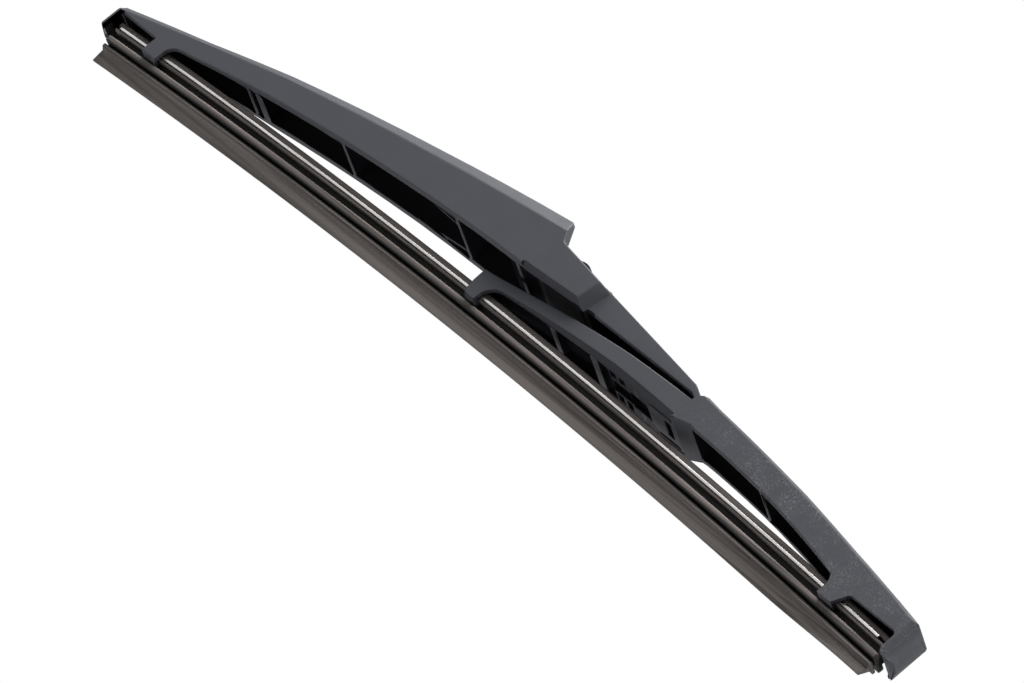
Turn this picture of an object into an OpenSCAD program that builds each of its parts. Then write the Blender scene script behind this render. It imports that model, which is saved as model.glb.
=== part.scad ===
// Rear wiper blade with three claws: a long bridge, a rocking lever at one end of it,
// and a rubber squeegee stiffened by two flat steel splines.
// The blade lies along X, its lip points down (-Z), and Y is across it.
// Heights are measured from the line through the two ends of the lip, and distances
// along the blade from the shoulder, which stands over the middle of the rubber.

/* [Rubber] */
// Length of the rubber squeegee at its lip
rubber_len = 298.6; // [290:0.1:300]
// Rise of the relaxed lip at mid length above its ends
bow_rise = 4.3; // [3.8:0.1:4.6]
// Thickness of the wiping lip at its edge
lip_t = 0.7; // [0.5:0.1:1]
// Thickness of the lip where it meets its shoulder
lip_root_t = 1.5; // [1.1:0.1:1.8]
// Height of the lip up to its shoulder
lip_h = 4.1; // [3.8:0.1:4.3]
// Width over the lip's shoulders
lip_shoulder_w = 4.4; // [3.8:0.1:5]
// Height of the band at the lip's shoulders
lip_shoulder_h = 0.9; // [0.7:0.1:1]
// Thickness of the hinge web that lets the lip flip over
hinge_t = 1; // [0.8:0.1:1.3]
// Height of the hinge web
hinge_h = 0.6; // [0.5:0.1:0.8]
// Width over the two wings
wing_w = 6.6; // [6:0.1:7]
// Height of the wings
wing_h = 1.7; // [1.5:0.1:1.8]
// Width of the neck under the head
neck_w = 2.6; // [2.2:0.1:2.8]
// Height of the neck groove that the claws grip
neck_h = 1.8; // [1.7:0.1:2]
// Width of the rubber head
head_w = 7.2; // [6.8:0.1:7.4]
// Height of the flange under the splines
flange_h = 0.6; // [0.5:0.1:0.8]
// Height of the head above the splines
cap_h = 1.6; // [1.4:0.1:1.8]

/* [Splines] */
// Length of each steel spline
spline_len = 294; // [288:1:296]
// Distance of the splines' middle from the rubber's, towards the bridge's claw
spline_shift = 1; // [0:0.1:1.2]
// Thickness of a spline
spline_t = 0.7; // [0.6:0.1:0.9]
// Distance over the outer edges of the pair of splines
spline_span = 8; // [7.6:0.1:8.1]
// Width of the rubber web left between the two splines
web_w = 2.4; // [2:0.1:2.8]
// Clearance round a spline in its groove
spline_gap = 0.08; // [0.05:0.01:0.12]

/* [Bridge] */
// Overhang of the bridge past the end of the rubber
bridge_over = 4.2; // [4:0.1:4.6]
// Width of the bridge over its claw
bridge_end_w = 11.4; // [11.2:0.1:11.8]
// Width of the bridge at the shoulder
bridge_w = 23.6; // [23:0.1:24.4]
// Wall thickness of the bridge along its channel
bridge_wall = 2.4; // [2.2:0.1:2.6]
// Thickness of the crown of the bridge
crown_t = 2; // [1.7:0.1:2.3]
// Height of the crown at the free end of the bridge
end_top = 14.8; // [14.6:0.1:15.4]
// Height of the crown at the shoulder
shoulder_top = 42.6; // [41.6:0.1:43.4]
// Rise of the crown's arch over its chord
crown_rise = 3.1; // [2.8:0.1:3.5]
// Height of the side wall's lower edge at the shoulder
arch_top = 25.1; // [24.9:0.1:25.3]
// Rise of the lower edge's arch over its chord
arch_rise = 2.6; // [2.3:0.05:2.8]
// Distance from the bridge's claw to the start of its lower arch
arch_start = 10; // [9:0.5:11]
// Distance from the bridge's claw to where its sides begin to spread
end_run = 13; // [11:0.5:15]
// Distance from the shoulder to the station where the sides spread less
flare_x = 97; // [94:1:100]
// Width of the bridge at that station
flare_w = 15.6; // [15:0.1:16]
// Distance from the shoulder to the station where the sides spread more again
waist_x = 47; // [44:1:50]
// Width of the bridge at that station
waist_w = 18.7; // [18.2:0.1:19.2]
// Inset of the crown's bevel at the shoulder
bevel_in = 2; // [1.7:0.1:2.2]
// Height of the crown's bevel at the shoulder
bevel_h = 3.9; // [3.4:0.1:4.4]
// Inset of the crown's bevel at the claw
bevel_end_in = 0.7; // [0.6:0.05:0.9]
// Thickness of the cross ribs inside the channels
rib_t = 1.3; // [1:0.1:1.6]
// Distance of the pair of cross ribs from the shoulder
pair_rib_x = 105; // [98:0.5:108]
// Spacing of the pair of cross ribs
pair_rib_gap = 3; // [2.6:0.1:4]
// Distance of the middle cross rib from the shoulder
mid_rib_x = 70; // [62:0.5:78]
// Distance of the braced cross rib from the shoulder
near_rib_x = 27; // [24:0.5:32]
// Thickness of the two braces that run from the walls to the braced rib
brace_t = 0.9; // [0.8:0.1:1.2]

/* [Arm socket] */
// Width of the saddle that takes the wiper arm
saddle_w = 15.2; // [14:0.1:15.6]
// Reach of the saddle behind the shoulder
saddle_back = 9; // [6:0.5:10]
// Distance from the shoulder to the end of the wide skirt
skirt_len = 19.2; // [18.6:0.1:19.8]
// Height of the socket's floor
floor_z = 28.8; // [28.6:0.1:29.2]
// Diameter of the arm's cross pin
arm_pin_d = 5; // [4.6:0.1:5.2]
// Width of the snap clip across the blade
clip_w = 7; // [6:0.1:8]
// Wall of the snap clip
clip_wall = 2.1; // [1.8:0.1:2.2]
// Distance of the arm pin from the shoulder
clip_x = 6.2; // [6:0.1:7]
// Height of the arm pin
clip_z = 33.9; // [33.7:0.1:34.3]
// Width of the snap clip's mouth
clip_mouth = 4.1; // [3.8:0.1:4.4]

/* [Tail] */
// Width of the narrow tail that carries the lever
tail_w = 16; // [15.8:0.1:16.4]
// Wall thickness of the tail
tail_wall = 1.6; // [1.4:0.1:1.7]
// Distance from the shoulder to the tail's tip
tail_len = 60.6; // [60:0.1:61]
// Height of the tail's lower edge
tail_low = 27.4; // [27.3:0.1:27.8]
// Height of the tail's top where it leaves the skirt
tail_top = 34.8; // [34.4:0.1:35.2]
// Height of the tail's top at its tip
tip_top = 29.8; // [29.7:0.1:30.2]

/* [Lever] */
// Distance of the rocking axis from the shoulder
pivot_x = 50; // [49:0.1:51]
// Height of the rocking axis
pivot_z = 25; // [24.9:0.1:25.2]
// Diameter of the trunnions that the lever rocks on
trunnion_d = 3.4; // [3:0.1:3.6]
// Radial clearance of a trunnion in its cheek
pivot_gap = 0.05; // [0.02:0.01:0.1]
// Wall of a cheek round its trunnion
cheek_wall = 1.35; // [1.2:0.05:1.4]
// Thickness of the tail's two cheeks
cheek_t = 1.6; // [1.4:0.1:1.7]
// Width of the lever's centre lug
lug_w = 7.6; // [7.2:0.1:7.8]
// Side clearance between the lug and a cheek
cheek_gap = 0.3; // [0.3:0.01:0.35]
// Width of the lever beside the pivot
lever_w = 17.6; // [17.4:0.1:18.2]
// Width of the lever over its claws
lever_end_w = 11.3; // [11.2:0.1:11.8]
// Width of the outer arm just past the tail
neck_arm_w = 15; // [14.4:0.1:15.4]
// Width of the outer arm where it starts to narrow to its claw
waist_arm_w = 14; // [13.6:0.1:14.4]
// Wall thickness of the lever beside the pivot
lever_wall = 2.2; // [2:0.1:2.4]
// Distance from the shoulder to the lever's inner end
inner_end = 11.4; // [11:0.1:12]
// Height of the lever's inner end
inner_top = 20; // [19.8:0.1:20.2]
// Distance from the shoulder to the start of the bed under the pivot
bed_x = 33; // [32:0.5:34]
// Height of the lever's side walls beside the tip of the tail
slot_edge = 25.8; // [25.6:0.1:26]
// Rise of the inner arm's back over its chord
inner_rise = 1.4; // [1.1:0.1:1.6]
// Height of the outer arm's crown beside the tail
hump_top = 29.4; // [29.2:0.1:29.8]
// Height of the outer arm's crown at its end
outer_top = 18.1; // [17.9:0.1:18.5]
// Rise of the outer arm's crown over its chord
outer_rise = 1.48; // [1.2:0.02:1.7]
// Inset and height of the outer arm's bevel
lever_bevel = 0.8; // [0.6:0.1:1]
// Height of the lever's lower edge where it leaves the inner claw
low_start = 17.9; // [17.6:0.1:18.1]
// Height of the lever's lower edge at the end of the bed
low_mid = 18.95; // [18.8:0.05:19.1]
// Height of the lever's lower edge just past the bed
low_step = 20.7; // [20.5:0.1:20.8]
// Rise of the inner arm's lower edge over its chord
low_rise = 0.95; // [0.8:0.05:1.1]
// Rise of the outer arm's lower edge over its chord
outer_low_rise = 1.2; // [1:0.05:1.4]
// Height of the chamfer along the lower edge beside the bed
edge_h = 1.1; // [0.8:0.1:1.2]
// Inset of that chamfer
edge_in = 1.9; // [1.6:0.1:2]
// Overhang of the lever past the end of the rubber
lever_over = 4.45; // [4.3:0.05:4.6]
// Thickness of the end cap
cap_t = 3.6; // [3.3:0.1:3.6]
// Radius of the end cap's bulge, seen from above
cap_r = 9.35; // [9:0.05:11]
// Distance of the first rib in the inner arm from the shoulder
arm_rib_x = 15.8; // [14:0.2:18]
// Distance of the second rib in the inner arm from the shoulder
slot_rib_x = 31.2; // [30:0.1:31.6]
// Distance of the rib in the outer arm from the shoulder
outer_rib_x = 94.5; // [88:0.5:100]
// Thickness of the ribs in the inner arm
arm_rib_t = 2.2; // [1.6:0.1:2.6]

/* [Claws] */
// Length of each claw along the blade, at its tip
claw_len = 5; // [4.4:0.1:5.4]
// Length of the lever's inner claw along the blade
inner_claw_len = 3.9; // [3.6:0.1:4.4]
// Radius in the corner between a claw and the lower edge
claw_round = 3.5; // [2.5:0.1:4]
// Radius in the corner behind the lever's inner claw
inner_round = 5; // [4:0.1:5.2]
// Wall thickness of the claws
claw_wall = 1.35; // [1.2:0.05:1.4]
// Height of the window behind the lever's outer claw, above the claw's tip
end_window = 4.5; // [4:0.1:4.8]
// Thickness of the pads over the rubber in the outer claws
pad_t = 2; // [1.5:0.1:2.5]
// Distance from the end of the rubber to the bridge's claw
bridge_claw_in = 12.2; // [11.8:0.1:13]
// Distance from the end of the rubber to the lever's outer claw
lever_claw_in = 17.8; // [17.4:0.1:18.2]
// Clearance between the claws and the rubber
grip_gap = 0.3; // [0.3:0.01:0.4]

/* [Hidden] */
$fn = 48;
// Segments of a full circle at the radius of the long arches
arch_fn = 900;
// Reach of cutting solids past the faces that they cut
over = 1;
// Height and depth at which the side outlines are closed off, clear of the blade
sky = 60;
pit = -9;

// Heights up the rubber, from its lip
wing_low = lip_h + lip_shoulder_h + hinge_h;
wing_top = wing_low + wing_h;
head_low = wing_top + neck_h;
groove_low = head_low + flange_h;
groove_top = groove_low + spline_t + 2 * spline_gap;
head_top = groove_top + cap_h;
half_len = rubber_len / 2;
bow_r = (half_len * half_len + bow_rise * bow_rise) / (2 * bow_rise);

// Height of the lip above its ends at station x
function lip_z(x) = sqrt(bow_r * bow_r - x * x) - bow_r + bow_rise;
// Radius and centre of the arc from a to b that bulges up by rise
function arc_r(a, b, rise) = (norm(b - a) ^ 2 / 4 + rise ^ 2) / (2 * rise);
function arc_c(a, b, rise) =
    let (u = (b - a) / norm(b - a))
    (a + b) / 2 - [-u[1], u[0]] * (arc_r(a, b, rise) - rise);
// Height of an arc, and the direction from its centre, at station x
function arc_z(c, r, x) = c[1] + sqrt(r ^ 2 - (x - c[0]) ^ 2);
function arc_dir(c, r, x) = acos((x - c[0]) / r);

// Claws: the bridge's stands at the far left, the lever's at its inner and outer ends
hook_gap = 0.45;
hook_reach = neck_w / 2 + 0.5;
grip_half = spline_span / 2 + grip_gap;
pad_in = 1.5;
bridge_claw = -half_len + bridge_claw_in;
outer_claw = half_len - lever_claw_in - claw_len;
inner_claw = -inner_end + 1.4;

// Long arches of the bridge
end_x = -half_len - bridge_over;
taper_x = bridge_claw + end_run;
crown_a = [end_x, end_top];
crown_b = [0, shoulder_top];
crown_r = arc_r(crown_a, crown_b, crown_rise);
crown_c = arc_c(crown_a, crown_b, crown_rise);
arch_x = bridge_claw + arch_start;
arch_a = [arch_x, lip_z(arch_x) + head_top + 1.75];
arch_b = [0, arch_top];
arch_r = arc_r(arch_a, arch_b, arch_rise);
arch_c = arc_c(arch_a, arch_b, arch_rise);
end_wall = 1.5;
window_top = lip_z(bridge_claw) + head_top + 0.5;
bridge_outline = [
    [taper_x, bridge_end_w / 2], [-flare_x, flare_w / 2], [-waist_x, waist_w / 2], [0, bridge_w / 2]
];

// Shoulder, socket and tail
shoulder_lean = 0.65;
skirt_top = 36.2;
skirt_slope = 0.14;
skirt_rise = 0.055;
skirt_cant = 21;
skirt_x = 2.9;
skirt_inner = bridge_w / 2 - bridge_wall;
floor_t = 1.6;
socket_end = skirt_len - 0.6;
tail_inner = tail_w / 2 - tail_wall;
cheek_r = trunnion_d / 2 + pivot_gap + cheek_wall;
cheek_in = lug_w / 2 + cheek_gap;

// Height of the tail's top line at station x
function tail_z(x) =
    let (root = tail_top + 0.2, tip_x = tail_len - 1)
    root - (root - tip_top) * (x - skirt_len) / (tip_x - skirt_len);

// Long arches of the lever
hump_x = tail_len + 1.9;
lever_x = half_len + lever_over;
back_a = [-inner_end, inner_top];
back_b = [hump_x, slot_edge];
back_r = arc_r(back_a, back_b, inner_rise);
back_c = arc_c(back_a, back_b, inner_rise);
hump_a = [hump_x, hump_top];
hump_b = [lever_x, outer_top];
hump_r = arc_r(hump_a, hump_b, outer_rise);
hump_c = arc_c(hump_a, hump_b, outer_rise);
bed_end = hump_x - 0.5;
step_end = hump_x + 4.5;
cap_x = lever_x - cap_t;
low_a = [inner_claw + inner_claw_len, low_start];
low_b = [bed_end, low_mid];
low_r = arc_r(low_a, low_b, low_rise);
low_c = arc_c(low_a, low_b, low_rise);
outer_low_a = [step_end, low_step];
outer_low_b = [outer_claw - 3.5, lip_z(outer_claw) + head_top + 1.7];
outer_low_r = arc_r(outer_low_a, outer_low_b, outer_low_rise);
outer_low_c = arc_c(outer_low_a, outer_low_b, outer_low_rise);
wide_a = pivot_x - 10;
wide_b = hump_x + 0.5;
neck_x = hump_x + 6.5;
waist_arm_x = outer_rib_x + 9.5;
narrow_x = outer_claw - 2.1;
lever_outline = [
    [wide_b, lever_w / 2], [neck_x, neck_arm_w / 2], [waist_arm_x, waist_arm_w / 2], [narrow_x, lever_end_w / 2]
];
outer_wall = 1.8;
bed_t = 2.3;
bed_z = pivot_z - cheek_r - 0.4 - bed_t;
slot_x = bed_x + 3;

// Puts the origin on the axis of the arm's cross pin
module place() {
    translate([-clip_x, 0, -clip_z]) children();
}

// Turns a side outline of X and height into a slab across the blade
module slab(w) {
    rotate([90, 0, 0]) linear_extrude(w, center = true) children();
}

module disc(c, r) {
    translate(c) circle(r, $fn = arch_fn);
}

module both_sides() {
    children();
    mirror([0, 1, 0]) children();
}

// Plan outline from a list of [x, half width], as tall as the blade
module plan(points) {
    low = [for (p = points) [p[0], -p[1]]];
    high = [for (i = [len(points) - 1:-1:0]) points[i]];
    translate([0, 0, pit]) linear_extrude(sky - pit) polygon(concat(low, high));
}

// Cutters for a bevel along an arch. Its edge on the arch runs through crest's points of
// [x, half width], each stretch ends square where the next one starts, and way is 1 for
// a bevel that falls outwards and -1 for one that rises.
module bevels(c, r, crest, lean, way) {
    deep = 9;
    for (i = [0:len(crest) - 2]) {
        a = crest[i];
        b = crest[i + 1];
        start = [0, arc_z(c, r, a[0])];
        stop = [norm(b - a), arc_z(c, r, b[0])];
        mid = arc_c(start, stop, r - sqrt(r ^ 2 - norm(stop - start) ^ 2 / 4));
        first = arc_dir(mid, r, stop[0] + over);
        span = arc_dir(mid, r, -over) - first;
        both_sides() intersection() {
            translate([a[0], -sky, pit]) cube([b[0] - a[0], sky, 2 * sky]);
            translate([a[0], -a[1], 0]) rotate([0, 0, -atan((b[1] - a[1]) / (b[0] - a[0]))])
            translate([mid[0], 0, mid[1]]) rotate([90, 0, 0]) rotate([0, 0, first])
            rotate_extrude(angle = span, $fn = arch_fn)
            polygon([[r + way * 3, -3 * lean], [r + way * 3, deep * lean], [r - way * deep, deep * lean]]);
        }
    }
}

// Space under an arch, from a rounded corner at station x0 to station x1
module under_arch(c, r, x0, x1, round) {
    x = x0 + sign(x1 - x0) * round;
    corner = [x, arc_z(c, r - round, x)];
    translate(corner) circle(round);
    intersection() {
        disc(c, r);
        polygon([
            [x0, pit], [x0, corner[1]], corner, corner + sky * (corner - c) / norm(corner - c), [x1, sky], [x1, pit]
        ]);
    }
}

// Pair of hooks that grip the neck of the rubber over stations x0 to x1
module hooks(x0, x1, outer) {
    mid = lip_z((x0 + x1) / 2);
    both_sides() translate([x0, hook_reach, mid + wing_top + hook_gap])
    cube([x1 - x0, outer - hook_reach, neck_h - hook_gap - 0.2]);
}

// Pad above the head, which keeps the rubber down in its claw
module pad(x0, x1) {
    translate([x0, -grip_half - over / 2, lip_z((x0 + x1) / 2) + head_top + grip_gap])
    cube([x1 - x0, 2 * grip_half + over, sky]);
}

// Side outline of the bridge up to the end of its skirt
module bridge_side() {
    tip = lip_z(bridge_claw + 3) + wing_top + hook_gap;
    difference() {
        intersection() {
            disc(crown_c, crown_r);
            polygon([
                [end_x, 7.8], [end_x + 0.4, end_top - 1.2], [end_x + 1.5, end_top - 0.3], [end_x + 2.6, sky],
                [skirt_x - shoulder_lean * (sky - skirt_top), sky], [skirt_x, skirt_top],
                [skirt_len + 3.4, skirt_top - skirt_slope * (skirt_len + 3.4 - skirt_x)],
                [skirt_len + 2, arch_top + skirt_rise * (skirt_len + 2)], [0, arch_top],
                [0, tip], [-half_len + 3, tip], [-half_len + 0.7, 5.3]
            ]);
        }
        under_arch(arch_c, arch_r, bridge_claw + claw_len + 0.4, over, claw_round);
        polygon([
            [end_x + 2, window_top], [end_x + end_wall, 9], [end_x + 2.4, 7], [-half_len + 0.8, 6.1],
            [-half_len + 1.4, pit], [bridge_claw, pit], [bridge_claw, window_top]
        ]);
    }
}

module tail_side() {
    polygon([
        [skirt_len, tail_low], [skirt_len, tail_top + 0.2],
        [tail_len - 1, tip_top], [tail_len - 0.4, tip_top - 0.4], [tail_len, tail_low]
    ]);
}

// Stiffening ribs, braces and bulkheads that the bridge's hollow is cut round
module bridge_ribs() {
    for (x = [pair_rib_x, pair_rib_x - pair_rib_gap, mid_rib_x, near_rib_x])
        translate([-x - rib_t / 2, -bridge_w / 2, arc_z(arch_c, arch_r, -x)])
        cube([rib_t, bridge_w, sky]);
    both_sides() translate([0, 0, arc_z(arch_c, arch_r, -near_rib_x)]) linear_extrude(sky)
    polygon([
        [-near_rib_x - 20, bridge_w / 2], [-near_rib_x - 18, skirt_inner - 1],
        [-near_rib_x, 4.8], [-near_rib_x, 4.8 + brace_t], [-near_rib_x - 18, skirt_inner - 1 + brace_t]
    ]);
    pad(bridge_claw + pad_in, bridge_claw + pad_in + pad_t);
    translate([-saddle_back - rib_t - 0.3, -bridge_w / 2, floor_z - floor_t]) cube([rib_t + 0.3, bridge_w, sky]);
}

// Snap clip for the arm's cross pin; its mouth opens towards the tail and up
module arm_clip() {
    outer = arm_pin_d / 2 + clip_wall;
    tilt = 60;
    translate([clip_x, 0, clip_z]) rotate([90, 0, 0]) linear_extrude(clip_w, center = true) {
        difference() {
            circle(outer);
            circle(arm_pin_d / 2);
            rotate(-tilt) translate([-clip_mouth / 2, 0]) square([clip_mouth, outer + over]);
        }
        difference() {
            translate([-outer + 0.6, floor_z - clip_z - over / 2]) square([2 * outer - 1.2, clip_z - floor_z]);
            circle((arm_pin_d + clip_wall) / 2);
        }
    }
}

// Cheek that hangs from the tail into the lever and holds one trunnion
module cheek() {
    translate([0, cheek_in + cheek_t, 0]) rotate([90, 0, 0]) linear_extrude(cheek_t) difference() {
        union() {
            translate([pivot_x, pivot_z]) circle(cheek_r);
            translate([pivot_x - cheek_r, pivot_z]) square([2 * cheek_r, tail_z(pivot_x + cheek_r) - 0.3 - pivot_z]);
        }
        translate([pivot_x, pivot_z]) circle(trunnion_d / 2 + pivot_gap);
    }
}

module bridge_body() {
    end_half = bridge_end_w / 2;
    full_half = bridge_w / 2;
    crest = [
        for (p = bridge_outline)
        [p[0], p[1] - bevel_in + (bevel_in - bevel_end_in) * p[0] / taper_x]
    ];
    facet_tilt = 9;
    difference() {
        intersection() {
            slab(2 * bridge_w) bridge_side();
            plan([
                [end_x, end_half - 1.2], [end_x + 0.4, end_half - 0.4], [end_x + 1.2, end_half],
                each bridge_outline, [sky, full_half]
            ]);
        }
        bevels(
            crown_c, crown_r, concat([[end_x - over, crest[0][1]]], crest, [[3, full_half - bevel_in]]),
            bevel_in / bevel_h, 1
        );
        both_sides() {
            translate([skirt_len, 0, arch_top]) rotate([0, facet_tilt, 0]) translate([0, 0, -sky / 2])
            linear_extrude(sky) polygon([
                [-1.3, -full_half - over], [-0.7, -full_half],
                [1.6, -tail_w / 2], [sky, -tail_w / 2], [sky, -full_half - over]
            ]);
            // Canted underside of the skirt
            translate([-0.5, 0, arch_top]) rotate([0, -atan(skirt_rise), 0]) rotate([90, 0, 90])
            linear_extrude(skirt_len + 5) polygon([
                [skirt_inner + 0.2, -over], [skirt_inner + 0.2, 0],
                [full_half + over, (full_half + over - skirt_inner - 0.2) * tan(skirt_cant)], [full_half + over, -over]
            ]);
        }
    }
    slab(tail_w) tail_side();
}

module bridge() {
    color("dimgray") place() difference() {
        union() {
            difference() {
                bridge_body();
                // Channel under the crown, cut round its ribs
                difference() {
                    intersection() {
                        slab(2 * bridge_w) intersection() {
                            disc(crown_c, crown_r - crown_t);
                            translate([end_x + end_wall, pit]) square([-end_x - end_wall - rib_t - saddle_back, sky]);
                        }
                        plan(concat(
                            [[end_x, bridge_end_w / 2 - claw_wall], [taper_x, grip_half]],
                            [for (i = [1:3]) bridge_outline[i] - [0, bridge_wall]]
                        ));
                    }
                    bridge_ribs();
                }
                // Recesses under the socket's floor, either side of the bulkhead
                translate([-saddle_back - rib_t - over, -skirt_inner + 0.6, pit])
                cube([saddle_back + rib_t + over - 4, 2 * skirt_inner - 1.2, floor_z - floor_t - pit]);
                slab(2 * skirt_inner) difference() {
                    translate([-2.6, pit]) square([socket_end + 2.6, floor_z - floor_t - pit]);
                    translate([-2.6 - over, floor_z - floor_t - claw_round]) difference() {
                        square([claw_round + over, claw_round + over]);
                        translate([claw_round + over, 0]) circle(claw_round);
                    }
                }
                // Room for the lever's back under the root of the tail
                translate([socket_end - over, -tail_w / 2, pit])
                cube([skirt_len - socket_end + 4, tail_w, tail_low - pit]);
                // Saddle through the crown, and the wider socket between the skirts
                translate([-saddle_back, -saddle_w / 2, floor_z]) cube([saddle_back + socket_end, saddle_w, sky]);
                translate([skirt_x, -skirt_inner, floor_z]) cube([socket_end - skirt_x, 2 * skirt_inner, sky]);
                // Hollow of the tail
                slab(2 * tail_inner) polygon([
                    [socket_end + tail_wall, pit], [socket_end + tail_wall, tail_top - tail_wall],
                    [tail_len - tail_wall, tip_top - tail_wall + 0.2], [tail_len - tail_wall, pit]
                ]);
                // Way for the rubber between the feet at the free end
                translate([end_x + end_wall, -wing_w / 2 - 0.6, pit])
                cube([6, wing_w + 1.2, window_top - 3 - pit]);
            }
            arm_clip();
            both_sides() cheek();
            hooks(bridge_claw, bridge_claw + claw_len, grip_half + over / 2);
        }
        // Notch in the bulkhead's lower edge
        translate([-5, -3.6, pit]) cube([3, 2.1, arch_top + 0.8 - pit]);
    }
}

// Side outline of the lever
module lever_side() {
    inner_tip = lip_z(inner_claw) + wing_top + hook_gap;
    outer_tip = lip_z(outer_claw + 3) + wing_top + hook_gap;
    open_x = outer_claw + claw_len;
    window = outer_tip + end_window;
    window_round = 1.6;
    difference() {
        union() {
            intersection() {
                disc(back_c, back_r);
                polygon([
                    [-inner_end, sky], [-inner_end, inner_top - 0.3], [-inner_end + 1.1, inner_tip + 1],
                    [-inner_end + 1.9, inner_tip], [hump_x + over, inner_tip], [hump_x + over, sky]
                ]);
            }
            intersection() {
                disc(hump_c, hump_r);
                polygon([
                    [hump_x, outer_tip], [hump_x, slot_edge + 0.3], [hump_x + 0.9, hump_top - 1.2],
                    [hump_x + 2.4, hump_top], [hump_x + 2.4, sky], [lever_x - 1.6, sky], [lever_x - 1.6, outer_top],
                    [lever_x - 0.5, outer_top - 0.5], [lever_x, outer_top - 1.6], [lever_x, outer_tip - 0.8],
                    [lever_x - 0.9, outer_tip - 2], [cap_x + 0.8, outer_tip - 2], [cap_x, outer_tip - 0.8],
                    [open_x, outer_tip - 0.8], [open_x, outer_tip]
                ]);
            }
        }
        under_arch(low_c, low_r, inner_claw + inner_claw_len, bed_end, inner_round);
        polygon([[bed_end - over, pit], [bed_end - over, low_mid - over], low_b, outer_low_a, [step_end, pit]]);
        under_arch(outer_low_c, outer_low_r, outer_claw, step_end, claw_round);
        polygon([
            [open_x, pit], [open_x, outer_tip + 0.2], [open_x + 1.6, window - 1.2], [open_x + 3, window],
            [cap_x - window_round, window], [cap_x - window_round, window - window_round],
            [cap_x, window - window_round], [cap_x, pit]
        ]);
        translate([cap_x - window_round, window - window_round]) circle(window_round);
    }
}

module lever_body() {
    wide = lever_w / 2;
    narrow = lever_end_w / 2;
    crest = [for (p = lever_outline) p - [0, lever_bevel]];
    difference() {
        intersection() {
            slab(2 * lever_w) lever_side();
            plan(concat(
                [[-inner_end, narrow - 0.8], [-inner_end + 0.8, narrow], [-2, narrow], [wide_a, wide]], lever_outline,
                [[lever_x - 3.2, narrow], [lever_x - 1.7, narrow - 0.8], [lever_x, narrow - 0.8]]
            ));
        }
        // Bulge of the end cap
        difference() {
            translate([lever_x - cap_r, -lever_w, pit]) cube([cap_r + over, 2 * lever_w, sky - pit]);
            translate([lever_x - cap_r, 0, pit - over]) cylinder(r = cap_r, h = sky, $fn = 180);
        }
        bevels(
            hump_c, hump_r,
            concat([[hump_x - over, crest[0][1]]], crest, [[lever_x + over, narrow - lever_bevel]]), 1, 1
        );
        bevels(
            low_c, low_r, [[4, narrow - 0.1], [wide_a, wide - edge_in], [bed_end, wide - edge_in]],
            edge_in / edge_h, -1
        );
    }
}

// Ribs, bed and pads that the lever's hollow is cut round
module lever_ribs() {
    for (x = [arm_rib_x, slot_rib_x])
        translate([x - arm_rib_t / 2, -lever_w / 2, arc_z(low_c, low_r, x)])
        cube([arm_rib_t, lever_w, sky]);
    translate([outer_rib_x - rib_t / 2, -lever_w / 2, arc_z(outer_low_c, outer_low_r, outer_rib_x)])
    cube([rib_t, lever_w, sky]);
    translate([bed_x - over, -lever_w / 2, bed_z]) cube([step_end - bed_x + over, lever_w, bed_t]);
    pad(-inner_end, inner_claw + 2);
    pad(outer_claw + pad_in, outer_claw + pad_in + pad_t);
}

module lever_hollow() {
    wide = lever_w / 2 - lever_wall;
    difference() {
        intersection() {
            slab(2 * lever_w) {
                intersection() {
                    disc(back_c, back_r - lever_wall);
                    translate([-inner_end, pit]) square([hump_x + inner_end, sky]);
                }
                intersection() {
                    disc(hump_c, hump_r - crown_t);
                    translate([step_end + 0.4, pit]) square([cap_x + over - step_end, sky]);
                }
                translate([slot_x, bed_z]) square([hump_x - slot_x, sky]);
            }
            plan([
                [-inner_end, grip_half], [-2, grip_half], [wide_a, wide], [bed_end, wide], [neck_x, neck_arm_w / 2 - outer_wall],
                [waist_arm_x, waist_arm_w / 2 - outer_wall], [narrow_x, grip_half], [lever_x, grip_half]
            ]);
        }
        lever_ribs();
    }
}

// Coring pocket in the underside of the bed, from start on past the bed's own start
module pocket(start, length, y, w) {
    translate([bed_x + start, y, bed_z - over]) cube([length, w, bed_t - 0.8 + over]);
}

module bed_pockets() {
    pocket(0.3, 3.7, -6.2, 12.4);
    pocket(4.6, 6.6, -2.2, 4.4);
    pocket(11.8, 6.4, -3, 6);
    pocket(24.7, 2.1, -3, 6);
    both_sides() {
        pocket(4.8, 2.2, 3.2, 2.9);
        pocket(8.4, 2, 3.2, 2.9);
        pocket(20.5, 7.6, 5.1, 0.9);
    }
}

// Centre lug with the two trunnions that the tail's cheeks snap over
module trunnions() {
    difference() {
        rotate([90, 0, 0]) linear_extrude(lug_w, center = true) {
            translate([pivot_x, pivot_z]) circle(cheek_r);
            translate([pivot_x - cheek_r, bed_z + bed_t - 0.5]) square([2 * cheek_r, pivot_z - bed_z - bed_t + 0.5]);
        }
        rotate([90, 0, 0]) linear_extrude(lug_w - 4, center = true)
        translate([pivot_x - cheek_r + 1, bed_z + bed_t]) square([2 * cheek_r - 2, sky]);
    }
    translate([pivot_x, 0, pivot_z]) rotate([90, 0, 0])
    cylinder(d = trunnion_d, h = 2 * (cheek_in + cheek_t) - 0.4, center = true);
}

module lever() {
    color("dimgray") place() {
        difference() {
            lever_body();
            lever_hollow();
            bed_pockets();
        }
        trunnions();
        hooks(inner_claw, inner_claw + inner_claw_len, grip_half + over / 2);
        hooks(outer_claw, outer_claw + claw_len, grip_half + over / 2);
    }
}

// Bends a section of [half width, height above the lip] along the bow of the lip,
// with its middle shift towards the bridge's claw
module bowed(length, shift) {
    span = 2 * asin(length / 2 / bow_r);
    translate([0, 0, bow_rise - bow_r]) rotate([90, 0, 0]) rotate([0, 0, 90 - span / 2 + asin(shift / bow_r)])
    rotate_extrude(angle = span, $fn = arch_fn) translate([bow_r, 0]) children();
}

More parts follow.
